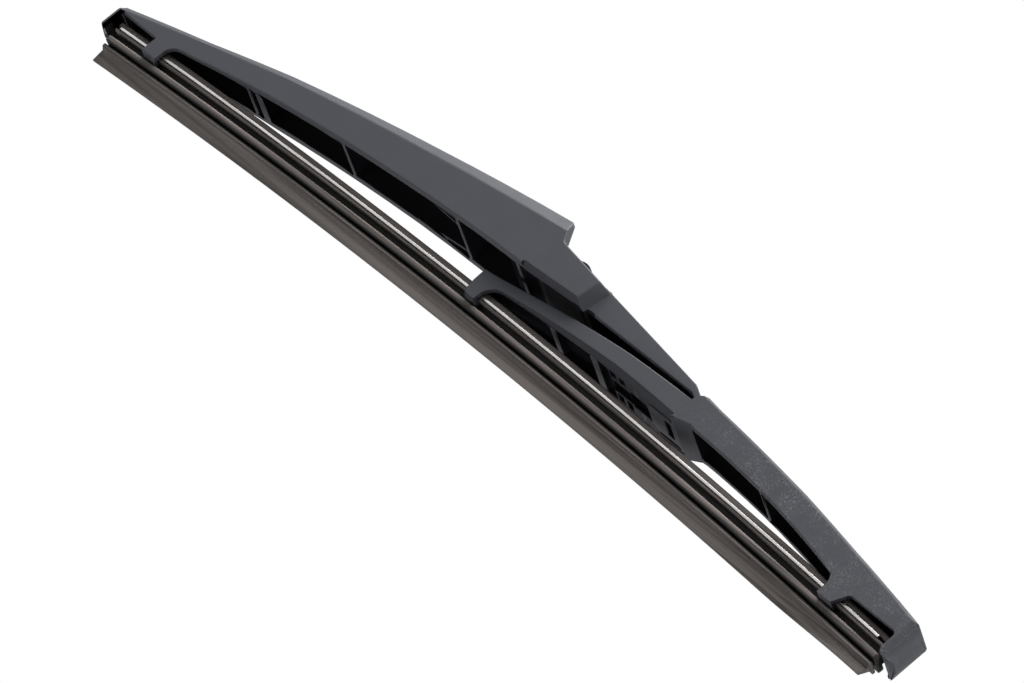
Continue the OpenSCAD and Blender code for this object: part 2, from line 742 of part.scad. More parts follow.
module squeegee() {
    half = [
        [0, lip_t / 2], [lip_h - 0.5, lip_root_t / 2], [lip_h, lip_shoulder_w / 2],
        [lip_h + lip_shoulder_h, lip_shoulder_w / 2], [lip_h + lip_shoulder_h, hinge_t / 2], [wing_low, hinge_t / 2],
        [wing_low, wing_w / 2 - 0.3], [wing_low + 0.4, wing_w / 2], [wing_top - 0.3, wing_w / 2], [wing_top, wing_w / 2 - 0.3],
        [wing_top, neck_w / 2], [head_low, neck_w / 2], [head_low, head_w / 2], [groove_low, head_w / 2],
        [groove_low, web_w / 2], [groove_top, web_w / 2], [groove_top, head_w / 2],
        [head_top - 0.4, head_w / 2], [head_top, head_w / 2 - 0.4]
    ];
    other = [for (i = [len(half) - 1:-1:0]) [half[i][0], -half[i][1]]];
    color("#2b2826") place() bowed(rubber_len, 0) polygon(concat(half, other));
}

module spline_strip() {
    inner = web_w / 2 + spline_gap;
    bowed(spline_len, spline_shift) translate([groove_low + spline_gap, inner]) square([spline_t, spline_span / 2 - inner]);
}

module spline_near() {
    color("silver") place() spline_strip();
}

module spline_far() {
    color("silver") place() mirror([0, 1, 0]) spline_strip();
}

bridge();
lever();
squeegee();
spline_near();
spline_far();
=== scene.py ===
import math
import bmesh
import bpy
from mathutils import Matrix, Vector
from mathutils.bvhtree import BVHTree
from mathutils.geometry import tessellate_polygon


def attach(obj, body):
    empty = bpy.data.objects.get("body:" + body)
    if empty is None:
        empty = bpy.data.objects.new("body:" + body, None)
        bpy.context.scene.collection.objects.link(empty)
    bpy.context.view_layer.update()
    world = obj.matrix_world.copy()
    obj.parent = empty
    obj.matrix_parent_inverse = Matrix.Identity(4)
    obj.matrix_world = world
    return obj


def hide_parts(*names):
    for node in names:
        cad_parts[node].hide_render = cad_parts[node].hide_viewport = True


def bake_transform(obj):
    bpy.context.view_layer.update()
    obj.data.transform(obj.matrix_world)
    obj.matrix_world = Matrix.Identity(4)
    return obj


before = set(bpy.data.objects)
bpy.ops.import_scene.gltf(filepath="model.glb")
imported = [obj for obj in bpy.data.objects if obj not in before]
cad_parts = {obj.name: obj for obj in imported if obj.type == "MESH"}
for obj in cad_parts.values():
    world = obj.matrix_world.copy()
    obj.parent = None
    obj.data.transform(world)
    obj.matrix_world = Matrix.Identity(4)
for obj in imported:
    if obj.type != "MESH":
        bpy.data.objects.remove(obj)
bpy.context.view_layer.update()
print("frame loaded:", ", ".join(sorted(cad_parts)))

mm = 0.001
samePlace = 1e-7  # points closer than this are one point, in metres


def addObject(name, data):
    made = bpy.data.objects.new(name, data)
    bpy.context.scene.collection.objects.link(made)
    return made


def takeMesh(holder):
    # The mesh that an object's modifiers give; the object itself is removed
    depsgraph = bpy.context.evaluated_depsgraph_get()
    mesh = bpy.data.meshes.new_from_object(holder.evaluated_get(depsgraph), depsgraph=depsgraph)
    bpy.data.objects.remove(holder)
    return mesh


# Camera at the photo's angle: below the blade, looking up at its near side
cameraChoices = {
    "place": (1.114667, -1.424991, -0.519252),
    "right": (0.62738, 0.23077, 0.743733),
    "up": (-0.503932, -0.607813, 0.61369),
    "focalLength": 270.418, "sensorWidth": 36, "clipEnd": 20,
}


def placeCamera(choices):
    camera = addObject("bladeCamera", bpy.data.cameras.new("bladeCamera"))
    right = Vector(choices["right"]).normalized()
    up = Vector(choices["up"]).normalized()
    back = right.cross(up)
    turn = Matrix((right, up, back)).transposed().to_4x4()
    camera.matrix_world = Matrix.Translation(choices["place"]) @ turn
    camera.data.sensor_width = choices["sensorWidth"]
    camera.data.lens = choices["focalLength"]
    camera.data.clip_end = choices["clipEnd"]
    bpy.context.scene.camera = camera


placeCamera(cameraChoices)
print("camera placed")


# Small helpers for the node trees

def feed(tree, socket, value):
    # A number or colour is set on the socket, and another node's output is linked to it
    if isinstance(value, bpy.types.NodeSocket):
        tree.links.new(value, socket)
    else:
        socket.default_value = value


def addMath(tree, operation, first, second=None, third=None):
    node = tree.nodes.new("ShaderNodeMath")
    node.operation = operation
    for slot, value in enumerate((first, second, third)):
        if value is not None:
            feed(tree, node.inputs[slot], value)
    return node.outputs[0]


def addNoise(tree, place, scale, detail=2.0, roughness=0.5):
    node = tree.nodes.new("ShaderNodeTexNoise")
    tree.links.new(place, node.inputs["Vector"])
    feed(tree, node.inputs["Scale"], scale)
    node.inputs["Detail"].default_value = detail
    node.inputs["Roughness"].default_value = roughness
    return node.outputs["Fac"]


def addRange(tree, value, low, high, toLow=0.0, toHigh=1.0, curve="LINEAR"):
    node = tree.nodes.new("ShaderNodeMapRange")
    node.interpolation_type = curve
    tree.links.new(value, node.inputs["Value"])
    for label, end in (("From Min", low), ("From Max", high), ("To Min", toLow), ("To Max", toHigh)):
        feed(tree, node.inputs[label], end)
    return node.outputs["Result"]


def addMix(tree, share, first, second):
    node = tree.nodes.new("ShaderNodeMix")
    node.data_type = "RGBA"
    tree.links.new(share, node.inputs["Factor"])
    for label, value in (("A", first), ("B", second)):
        socket = [s for s in node.inputs if s.name == label and s.type == "RGBA"][0]
        feed(tree, socket, value)
    return [s for s in node.outputs if s.type == "RGBA"][0]


def addSplit(tree, place):
    node = tree.nodes.new("ShaderNodeSeparateXYZ")
    tree.links.new(place, node.inputs[0])
    return node.outputs


def objectPlace(tree):
    return tree.nodes.new("ShaderNodeTexCoord").outputs["Object"]


# Shader node groups shared by the finishes
grainChoices = {
    "detail": 3.0, "roughness": 0.6, "cellShare": 0.6, "topsRange": (0.80, 1.06),
    "patchScale": 160.0, "patchRange": (0.38, 0.62), "smoothHeight": 0.3, "tintScale": 90.0,
}
streakChoices = {"detail": 4.0, "roughness": 0.62, "smearScale": 0.23}


def newGroup(name, inputs, outputs):
    group = bpy.data.node_groups.new(name, "ShaderNodeTree")
    for label, value in inputs:
        socket = group.interface.new_socket(label, in_out="INPUT", socket_type="NodeSocketFloat")
        socket.default_value = value
    for label in outputs:
        group.interface.new_socket(label, in_out="OUTPUT", socket_type="NodeSocketFloat")
    return group, group.nodes.new("NodeGroupInput"), group.nodes.new("NodeGroupOutput")


def makeGrainGroup(choices):
    # Eroded mould grain: a fine crumpled height, and a mask of the grain's shiny tops
    group, given, result = newGroup(
        "mouldGrain",
        [("Grain Size", 2400.0), ("Sparkle", 0.5), ("Smooth To", 0.04), ("Rough From", 0.09)],
        ["Height", "Tops", "Tint"],
    )
    place = objectPlace(group)
    detail = choices["detail"]
    roughness = choices["roughness"]
    fine = addNoise(group, place, given.outputs["Grain Size"], detail, roughness)
    cells = group.nodes.new("ShaderNodeTexVoronoi")
    group.links.new(place, cells.inputs["Vector"])
    group.links.new(given.outputs["Grain Size"], cells.inputs["Scale"])
    height = addMath(group, "MULTIPLY_ADD", cells.outputs["Distance"], choices["cellShare"], fine)

    # The rough grain comes in along X, and only in patches
    along = addSplit(group, place)["X"]
    worn = addRange(group, along, given.outputs["Smooth To"], given.outputs["Rough From"])
    patchNoise = addNoise(group, place, choices["patchScale"], detail, roughness)
    worn = addMath(group, "MULTIPLY", worn, addRange(group, patchNoise, *choices["patchRange"]))
    tops = addRange(group, height, *choices["topsRange"])
    tops = addMath(group, "MULTIPLY", tops, addMath(group, "MULTIPLY", worn, given.outputs["Sparkle"]))
    height = addMath(group, "MULTIPLY", height, addRange(group, worn, 0.0, 1.0, choices["smoothHeight"], 1.0))
    group.links.new(height, result.inputs["Height"])
    group.links.new(tops, result.inputs["Tops"])
    group.links.new(addNoise(group, place, choices["tintScale"], detail), result.inputs["Tint"])
    return group


def makeStreakGroup(choices):
    # Long streaks drawn out along X, for the extruded rubber and the drawn steel
    group, given, result = newGroup(
        "drawnStreaks", [("Length Scale", 12.0), ("Width Scale", 900.0)], ["Streaks", "Smears"],
    )
    place = addSplit(group, objectPlace(group))
    joined = group.nodes.new("ShaderNodeCombineXYZ")
    for axis, scale in (("X", "Length Scale"), ("Y", "Width Scale"), ("Z", "Width Scale")):
        stretched = addMath(group, "MULTIPLY", place[axis], given.outputs[scale])
        group.links.new(stretched, joined.inputs[axis])
    streaks = addNoise(group, joined.outputs[0], 1.0, choices["detail"], choices["roughness"])
    smears = addNoise(group, joined.outputs[0], choices["smearScale"])
    group.links.new(streaks, result.inputs["Streaks"])
    group.links.new(smears, result.inputs["Smears"])
    return group


mouldGrain = makeGrainGroup(grainChoices)
drawnStreaks = makeStreakGroup(streakChoices)
print("shader groups made")

# Finishes
# The plastic's shade colour is painted shade, for faces that see little light
sharedPlastic = {
    "dark": (0.036, 0.037, 0.043, 1), "shadeColour": (0.011, 0.011, 0.013, 1),
    "roughness": (0.50, 0.62), "tintRange": (0.3, 0.7), "sheen": 0.26, "bumpDepth": 0.12 * mm,
}
plasticChoices = {
    "bridgePlastic": {
        **sharedPlastic, "light": (0.046, 0.048, 0.056, 1), "tops": (0.09, 0.094, 0.106, 1),
        "grainSize": 2600.0, "sparkle": 0.15, "smoothTo": -0.1, "roughFrom": 0.1, "bump": 0.16,
    },
    "leverPlastic": {
        **sharedPlastic, "light": (0.048, 0.050, 0.058, 1), "tops": (0.17, 0.175, 0.19, 1),
        "grainSize": 2300.0, "sparkle": 0.5, "smoothTo": 0.046, "roughFrom": 0.088, "bump": 0.34,
    },
}
# Band tones, painted light and shade by height: heights in the section in mm, and the tone there
rubberChoices = {
    "dark": (0.042, 0.036, 0.033, 1), "light": (0.158, 0.140, 0.131, 1), "smear": (0.205, 0.184, 0.173, 1),
    "groove": (0.006, 0.0055, 0.005, 1), "roughness": (0.46, 0.70), "sheen": 0.25,
    "lengthScale": 14.0, "widthScale": 1300.0, "streakRange": (0.36, 0.68), "smearRange": (0.52, 0.74),
    "bump": 0.35, "bumpDepth": 0.06 * mm,
    "bandLightAndShade": [
        (0.0, 0.72), (2.2, 0.8), (3.3, 1.1), (3.9, 0.65), (4.1, 0.36), (4.25, 1.5), (4.9, 2.2), (5.05, 0.8),
        (5.6, 0.5), (5.9, 0.6), (6.5, 0.9), (7.25, 2.1), (7.4, 1.2), (9.0, 1.5), (9.2, 0.85), (10.5, 0.62),
        (12.2, 0.58),
    ],
    "bandTop": 12.2, "bandGain": 2.5, "paleFrom": 20.0, "darkFrom": -150.0, "darkTone": 0.66,
}
steelChoices = {
    "dark": (0.42, 0.405, 0.395, 1), "light": (0.72, 0.70, 0.69, 1), "roughness": (0.26, 0.40),
    "lengthScale": 12.0, "widthScale": 2600.0, "streakRange": (0.3, 0.7),
    "bump": 0.05, "bumpDepth": 0.02 * mm,
}


def newFinish(name):
    finish = bpy.data.materials.new(name)
    finish.use_nodes = True
    tree = finish.node_tree
    shader = [n for n in tree.nodes if n.type == "BSDF_PRINCIPLED"][0]
    return finish, tree, shader


def addGroup(tree, group, values):
    node = tree.nodes.new("ShaderNodeGroup")
    node.node_tree = group
    for label, value in values.items():
        node.inputs[label].default_value = value
    return node.outputs


def addStreaks(tree, choices):
    scales = {"Length Scale": choices["lengthScale"], "Width Scale": choices["widthScale"]}
    drawn = addGroup(tree, drawnStreaks, scales)
    return addRange(tree, drawn["Streaks"], *choices["streakRange"]), drawn["Smears"]


def readMask(tree, name):
    node = tree.nodes.new("ShaderNodeAttribute")
    node.attribute_name = name
    return node.outputs["Fac"]


def addBump(tree, shader, height, choices):
    node = tree.nodes.new("ShaderNodeBump")
    node.inputs["Strength"].default_value = choices["bump"]
    node.inputs["Distance"].default_value = choices["bumpDepth"]
    tree.links.new(height, node.inputs["Height"])
    tree.links.new(node.outputs["Normal"], shader.inputs["Normal"])


def makePlastic(name, choices):
    finish, tree, shader = newFinish(name)
    grain = addGroup(tree, mouldGrain, {
        "Grain Size": choices["grainSize"], "Sparkle": choices["sparkle"],
        "Smooth To": choices["smoothTo"], "Rough From": choices["roughFrom"],
    })
    base = addMix(tree, grain["Tint"], choices["dark"], choices["light"])
    # The grain's shiny tops are painted lighter, as a painted sparkle
    colour = addMix(tree, grain["Tops"], base, choices["tops"])
    # Painted shade: the mask darkens the colour towards the shade colour
    shade = readMask(tree, "paintedShade")
    tree.links.new(addMix(tree, shade, colour, choices["shadeColour"]), shader.inputs["Base Color"])
    dull = addRange(tree, grain["Tint"], *choices["tintRange"], *choices["roughness"])
    tree.links.new(dull, shader.inputs["Roughness"])
    # Faces with painted shade lose their sheen with their colour
    sheen = addRange(tree, shade, 0.0, 1.0, choices["sheen"], 0.0)
    tree.links.new(sheen, shader.inputs["Specular IOR Level"])
    addBump(tree, shader, grain["Height"], choices)
    return finish


def addBandLightAndShade(tree, choices):
    # Tone by the height in the rubber's section, with painted light and shade: lighter bands on the shoulder
    # and the wing's top, darker under the shoulder and the wing; paler towards the blade's right end
    bands = tree.nodes.new("ShaderNodeValToRGB")
    stops = bands.color_ramp.elements
    while len(stops) < len(choices["bandLightAndShade"]):
        stops.new(1.0)
    for stop, (height, tone) in zip(stops, choices["bandLightAndShade"]):
        stop.position = height / choices["bandTop"]
        grey = tone / choices["bandGain"]
        stop.color = (grey, grey, grey, 1)
    tall = addRange(tree, readMask(tree, "sectionHeight"), 0.0, choices["bandTop"] * mm)
    tree.links.new(tall, bands.inputs["Fac"])
    along = addSplit(tree, objectPlace(tree))["X"]
    gain = choices["bandGain"]
    ends = (choices["darkFrom"] * mm, choices["paleFrom"] * mm)
    faded = addRange(tree, along, *ends, choices["darkTone"] * gain, gain)
    return addMath(tree, "MULTIPLY", bands.outputs["Color"], faded)


def makeRubber(choices):
    finish, tree, shader = newFinish("bladeRubber")
    streaks, smears = addStreaks(tree, choices)
    base = addMix(tree, streaks, choices["dark"], choices["light"])
    exposed = addMix(tree, addRange(tree, smears, *choices["smearRange"]), base, choices["smear"])
    toned = tree.nodes.new("ShaderNodeVectorMath")
    toned.operation = "SCALE"
    tree.links.new(exposed, toned.inputs[0])
    tree.links.new(addBandLightAndShade(tree, choices), toned.inputs["Scale"])
    # Painted shade in the grooves and under the wing
    shaded = addMix(tree, readMask(tree, "groove"), toned.outputs[0], choices["groove"])
    tree.links.new(shaded, shader.inputs["Base Color"])
    tree.links.new(addRange(tree, streaks, 0.0, 1.0, *choices["roughness"]), shader.inputs["Roughness"])
    shader.inputs["Specular IOR Level"].default_value = choices["sheen"]
    addBump(tree, shader, streaks, choices)
    return finish


def makeSteel(choices):
    finish, tree, shader = newFinish("splineSteel")
    streaks = addStreaks(tree, choices)[0]
    tree.links.new(addMix(tree, streaks, choices["dark"], choices["light"]), shader.inputs["Base Color"])
    tree.links.new(addRange(tree, streaks, 0.0, 1.0, *choices["roughness"]), shader.inputs["Roughness"])
    shader.inputs["Metallic"].default_value = 1.0
    addBump(tree, shader, streaks, choices)
    return finish


bridgePlastic = makePlastic("bridgePlastic", plasticChoices["bridgePlastic"])
leverPlastic = makePlastic("leverPlastic", plasticChoices["leverPlastic"])
bladeRubber = makeRubber(rubberChoices)
splineSteel = makeSteel(steelChoices)
print("finishes made")

# Bow of the relaxed rubber. Its middle stands at the bridge's shoulder, from which stations are counted.
bowChoices = {"rise": 4.3 * mm, "length": 298.6 * mm, "middleX": -6.2 * mm, "lipLineZ": -33.9 * mm}


def stationOf(x):
    return (x - bowChoices["middleX"]) / mm


# Mouldings: the CAD shapes with the soft edges that a mould leaves. Angles are in degrees.
# A bevel takes roomShare of the room beside its edge. Sharp neighbours under shortEdge radii limit it too.
# An outer wall is known by its normal's Z and Y and by how far it lies from the half widths, in mm.
mouldingChoices = {
    "mergeDistance": 0.012 * mm, "flatAngle": 0.15, "cornerMiss": 0.1,
    "edgeRadius": 0.40 * mm, "edgeSteps": 3, "sharpAngle": 24, "roomShare": 0.42, "shortEdge": 2.2,
    # Rays that find the faces for painted shade, and the outlooks where that shade is full and where it ends
    "shadeRays": 160, "lowestRay": -0.2, "grazing": 0.08, "shadeSpots": 5, "rayLift": 0.02 * mm,
    "shadeShut": 0.42, "shadeOpen": 0.72,
    "smoothAngle": 38, "cutStep": 3.0 * mm, "blendReach": 11.0 * mm,
    "wallTilt": 0.02, "wallFacing": 0.95, "wallMiss": 0.25,
}
# Walls: stations and half widths, in mm. Soft ends: stations and their wider edge radius.
# Shades, which are painted shade: stations, limits of the normal's Z, limits of the distance from the middle,
# and the share of shade.
# Lifts: a corner's station, distance from the middle and height in the frame, and its rise.
bridgeChoices = {
    "walls": [(-153.5, 5.7), (-124.1, 5.7), (-97, 7.8), (-47, 9.35), (0, 11.8), (25, 11.8)],
    "softEnds": [(-160, -149, 0.9 * mm), (-2.5, 3.0, 0.8 * mm)],
    "shades": [
        (0, 30, -1, -0.3, 9.6, 14, 0.45),
        (3, 24.8, -1, -0.3, 0, 9.6, 0.95),
        (0.5, 4, 0.3, 0.8, 0, 14, 0.3),
    ],
    "lifts": [(22.15, 8.0, -0.4, 1.0)],
}
leverChoices = {
    "walls": [
        (-11.4, 5.65), (-2, 5.65), (40, 8.8), (63, 8.8), (69, 7.5), (104, 7.0), (124.4, 5.65), (154, 5.65),
    ],
    "softEnds": [(146.5, 158, 1.3 * mm)],
    "shades": [
        (-20, 63, -1, -0.3, 4.5, 14, 0.55),
        (36, 47, -1, -0.85, 0, 7.2, 0.6),
        (60, 158, 0.3, 1, 0, 14, 0.5),
    ],
    "lifts": [],
}


def liftCorners(work, lifts, miss):
    # The facets' tops rise to the tail's, as in the photo
    for station, half, height, rise in lifts:
        for vert in work.verts:
            gaps = (stationOf(vert.co.x) - station, abs(vert.co.y) / mm - half, vert.co.z / mm - height)
            if max(abs(gap) for gap in gaps) < miss:
                vert.co.z += rise * mm


def levelRays(choices):
    # Directions spread evenly over all that lies level or above, by the golden angle
    count = choices["shadeRays"]
    lowest = choices["lowestRay"]
    rays = []
    for i in range(count):
        tall = (1 - lowest) * (i + 0.5) / count + lowest
        turn = i * math.pi * (3 - math.sqrt(5))
        flat = math.sqrt(1 - tall * tall)
        rays.append(Vector((flat * math.cos(turn), flat * math.sin(turn), tall)))
    return rays


def markPaintedShade(work, choices):
    # Painted shade on faces that see little of what lies level with them or above, as a baked occlusion
    tree = BVHTree.FromBMesh(work)
    mask = work.faces.layers.float.new("paintedShade")
    rays = levelRays(choices)
    for face in work.faces:
        corners = [vert.co for vert in face.verts]
        triangles = [[corners[i] for i in triple] for triple in tessellate_polygon([corners])]
        triangles.sort(key=lambda t: -(t[1] - t[0]).cross(t[2] - t[0]).length)
        shut = 0
        whole = 0
        for triangle in triangles[:choices["shadeSpots"]]:
            spot = sum(triangle, Vector()) / 3 + face.normal * choices["rayLift"]
            for ray in rays:
                if ray.dot(face.normal) > choices["grazing"]:
                    whole += 1
                    shut += tree.ray_cast(spot, ray)[0] is not None
        outlook = 1 - shut / max(whole, 1)
        share = (choices["shadeOpen"] - outlook) / (choices["shadeOpen"] - choices["shadeShut"])
        face[mask] = min(max(share, 0.0), 1.0)


def edgeRoom(edge, radius, choices):
    # Widest bevel that the faces and the sharp edges beside this edge can take
    room = radius
    for face in edge.link_faces:
        room = min(room, choices["roomShare"] * face.calc_area() / max(edge.calc_length(), 1e-9))
    for vert in edge.verts:
        for other in vert.link_edges:
            if other is not edge and other.calc_length() < choices["shortEdge"] * radius:
                if other.calc_face_angle(0.0) > math.radians(choices["sharpAngle"]):
                    room = min(room, choices["roomShare"] * other.calc_length())
    return room


def weighEdges(work, softEnds, choices):
    # Each sharp edge's radius, as a share of the widest one, which is handed back
    weights = work.edges.layers.float.new("bevel_weight_edge")
    sharp = math.radians(choices["sharpAngle"])
    widest = max([choices["edgeRadius"]] + [radius for low, high, radius in softEnds])
    for edge in work.edges:
        if len(edge.link_faces) == 2 and edge.calc_face_angle(0.0) > sharp:
            radius = choices["edgeRadius"]
            station = stationOf((edge.verts[0].co.x + edge.verts[1].co.x) / 2)
            for low, high, wide in softEnds:
                if low <= station <= high:
                    radius = wide
            edge[weights] = edgeRoom(edge, radius, choices) / widest
    return widest


def bevelEdges(name, mesh, width, steps):
    rough = addObject(name + "Rough", mesh)
    bevel = rough.modifiers.new("softEdges", "BEVEL")
    bevel.limit_method = "WEIGHT"
    bevel.width = width
    bevel.segments = steps
    bevel.use_clamp_overlap = False
    bevel.miter_outer = "MITER_ARC"
    return takeMesh(rough)


def cutAcross(mesh, step):
    # Extra cross cuts, so that the walls' shading can turn gently at their kinks
    work = bmesh.new()
    work.from_mesh(mesh)
    low = min(vert.co.x for vert in work.verts)
    high = max(vert.co.x for vert in work.verts)
    for i in range(1, int((high - low) / step)):
        parts = work.verts[:] + work.edges[:] + work.faces[:]
        spot = (low + i * step, 0, 0)
        bmesh.ops.bisect_plane(work, geom=parts, dist=samePlace, plane_co=spot, plane_no=(1, 0, 0))
    work.to_mesh(mesh)
    work.free()


def halfWidth(walls, station):
    for (x0, w0), (x1, w1) in zip(walls, walls[1:]):
        if station <= x1:
            return w0 + (w1 - w0) * (max(station, x0) - x0) / (x1 - x0)
    return walls[-1][1]


def wallNormal(walls, station, side, reach):
    slope = (halfWidth(walls, station + reach) - halfWidth(walls, station - reach)) / (2 * reach)
    return Vector((-slope, math.copysign(1, side), 0)).normalized()


def steadyNormals(mesh, walls, choices):
    # Normals that follow the larger faces, so that flats stay flat and only the soft edges turn;
    # the outer walls take theirs from their own outline, smoothed along the blade
    work = bmesh.new()
    work.from_mesh(mesh)
    limit = math.cos(math.radians(choices["smoothAngle"]))
    area = {face: face.calc_area() for face in work.faces}
    reach = choices["blendReach"] / mm
    normals = []
    for face in work.faces:
        middle = face.calc_center_median()
        wallGap = abs(middle.y) / mm - halfWidth(walls, stationOf(middle.x))
        upright = abs(face.normal.z) < choices["wallTilt"] and abs(face.normal.y) > choices["wallFacing"]
        outer = upright and abs(wallGap) < choices["wallMiss"]
        for vert in face.verts:
            if outer:
                normals.append(wallNormal(walls, stationOf(vert.co.x), face.normal.y, reach))
                continue
            total = Vector()
            for other in vert.link_faces:
                if other.normal.dot(face.normal) > limit:
                    total += other.normal * area[other]
            normals.append(total.normalized() if total.length > 0 else face.normal.copy())
    work.free()
    mesh.normals_split_custom_set(normals)


def shadeZones(mesh, shades):
    # Zones darkened with painted shade: under the skirt and the arm's socket, and the lever's lower edge and
    # crown
    mask = mesh.attributes["paintedShade"].data
    for face in mesh.polygons:
        station = stationOf(face.center.x)
        depth = abs(face.center.y) / mm
        for low, high, leanLow, leanHigh, near, far, share in shades:
            if low <= station <= high and leanLow <= face.normal.z <= leanHigh and near <= depth < far:
                mask[face.index].value = max(mask[face.index].value, share)


def makeMoulding(nodeName, name, body, finish, own, choices):
    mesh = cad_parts[nodeName].data.copy()
    mesh.materials.clear()
    work = bmesh.new()
    work.from_mesh(mesh)
    bmesh.ops.remove_doubles(work, verts=work.verts, dist=choices["mergeDistance"])
    flat = math.radians(choices["flatAngle"])
    bmesh.ops.dissolve_limit(work, angle_limit=flat, verts=work.verts, edges=work.edges)
    liftCorners(work, own["lifts"], choices["cornerMiss"])
    markPaintedShade(work, choices)
    widest = weighEdges(work, own["softEnds"], choices)
    for face in work.faces:
        face.smooth = True
    work.to_mesh(mesh)
    work.free()
    softened = bevelEdges(name, mesh, widest, choices["edgeSteps"])
    cutAcross(softened, choices["cutStep"])
    steadyNormals(softened, own["walls"], choices)
    shadeZones(softened, own["shades"])
    softened.materials.append(finish)
    piece = addObject(name, softened)
    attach(piece, body)
    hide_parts(nodeName)
    print(name, "made with", len(softened.polygons), "faces")


makeMoulding("bridge", "bridgeMoulding", "bridge", bridgePlastic, bridgeChoices, mouldingChoices)
makeMoulding("lever", "leverMoulding", "lever", leverPlastic, leverChoices, mouldingChoices)

# Rubber and splines: sections swept along the bow by one Geometry Nodes tree. Sections are in mm.
rubberSection = {
    "lipThickness": 0.7, "lipRoot": 1.5, "lipHeight": 4.1, "lipSlope": 0.5,
    "shoulderWidth": 4.4, "shoulderHeight": 0.9, "hingeThickness": 1.0, "hingeHeight": 0.6,
    "wingWidth": 6.6, "wingHeight": 1.7, "wingChamfer": 0.3, "wingLowChamfer": 0.2,
    "neckWidth": 2.6, "neckHeight": 1.8, "headWidth": 7.2, "headChamfer": 0.4, "flangeHeight": 0.6,
    "grooveHeight": 0.86, "webWidth": 2.4, "capHeight": 1.6, "cornerRadius": 0.16,
}
splineSection = {
    "thickness": 0.7, "span": 8.0, "webWidth": rubberSection["webWidth"], "gap": 0.08, "cornerRadius": 0.12,
}
sharedBow = {
    "Rise": bowChoices["rise"], "Whole Length": bowChoices["length"],
    "Middle X": bowChoices["middleX"], "Lip Line Z": bowChoices["lipLineZ"],
}
rubberSweep = {
    **sharedBow, "Length": bowChoices["length"], "Steps": 160,
    "Lean Start": 112 * mm, "Lean End": 149 * mm, "Lean Side": -1.6 * mm, "Lean Lift": 0.5 * mm,
    "Lip Height": rubberSection["lipHeight"] * mm,
    "Groove Low": 4.6 * mm, "Groove Out": 2.3 * mm, "Groove In": 1.5 * mm,
    "Wing Light": 6.0 * mm, "Wing Dark": 5.6 * mm,
}
splineSweep = {**sharedBow, "Length": 294 * mm, "Shift": -1.0 * mm, "Steps": 120}


def roundCorners(points, radius, steps=3, sideShare=0.4):
    # Closed outline with each corner turned on a small arc
    outline = []
    count = len(points)
    for i, corner in enumerate(points):
        here = Vector(corner)
        back = Vector(points[i - 1]) - here
        ahead = Vector(points[(i + 1) % count]) - here
        reach = min(radius, sideShare * back.length, sideShare * ahead.length)
        start = here + back.normalized() * reach
        end = here + ahead.normalized() * reach
        for step in range(steps + 1):
            t = step / steps
            outline.append((1 - t) ** 2 * start + 2 * t * (1 - t) * here + t ** 2 * end)
    return outline


def rubberOutline(s):
    shoulder = s["lipHeight"] + s["shoulderHeight"]
    wingLow = shoulder + s["hingeHeight"]
    wingTop = wingLow + s["wingHeight"]
    headLow = wingTop + s["neckHeight"]
    grooveLow = headLow + s["flangeHeight"]
    grooveTop = grooveLow + s["grooveHeight"]
    headTop = grooveTop + s["capHeight"]
    half = [
        (s["lipThickness"] / 2, 0), (s["lipRoot"] / 2, s["lipHeight"] - s["lipSlope"]),
        (s["shoulderWidth"] / 2, s["lipHeight"]), (s["shoulderWidth"] / 2, shoulder),
        (s["hingeThickness"] / 2, shoulder), (s["hingeThickness"] / 2, wingLow),
        (s["wingWidth"] / 2 - s["wingLowChamfer"], wingLow), (s["wingWidth"] / 2, wingLow + s["wingChamfer"]),
        (s["wingWidth"] / 2, wingTop - s["wingChamfer"]), (s["wingWidth"] / 2 - s["wingChamfer"], wingTop),
        (s["neckWidth"] / 2, wingTop), (s["neckWidth"] / 2, headLow),
        (s["headWidth"] / 2, headLow), (s["headWidth"] / 2, grooveLow),
        (s["webWidth"] / 2, grooveLow), (s["webWidth"] / 2, grooveTop),
        (s["headWidth"] / 2, grooveTop), (s["headWidth"] / 2, headTop - s["headChamfer"]),
        (s["headWidth"] / 2 - s["headChamfer"], headTop),
    ]
    whole = half + [(-y, z) for y, z in reversed(half)]
    return roundCorners(whole, s["cornerRadius"]), grooveLow


def splineOutline(s, low, side):
    inner = s["webWidth"] / 2 + s["gap"]
    outer = s["span"] / 2
    base = low + s["gap"]
    corners = [(inner, base), (outer, base), (outer, base + s["thickness"]), (inner, base + s["thickness"])]
    if side < 0:
        corners = [(-y, z) for y, z in reversed(corners)]
    return roundCorners(corners, s["cornerRadius"])


def makeSectionCurve(name, outline):
    curve = bpy.data.curves.new(name, "CURVE")
    curve.dimensions = "3D"
    line = curve.splines.new("POLY")
    line.points.add(len(outline) - 1)
    for point, (y, z) in zip(line.points, outline):
        point.co = (y * mm, z * mm, 0, 1)
    line.use_cyclic_u = True
    return curve


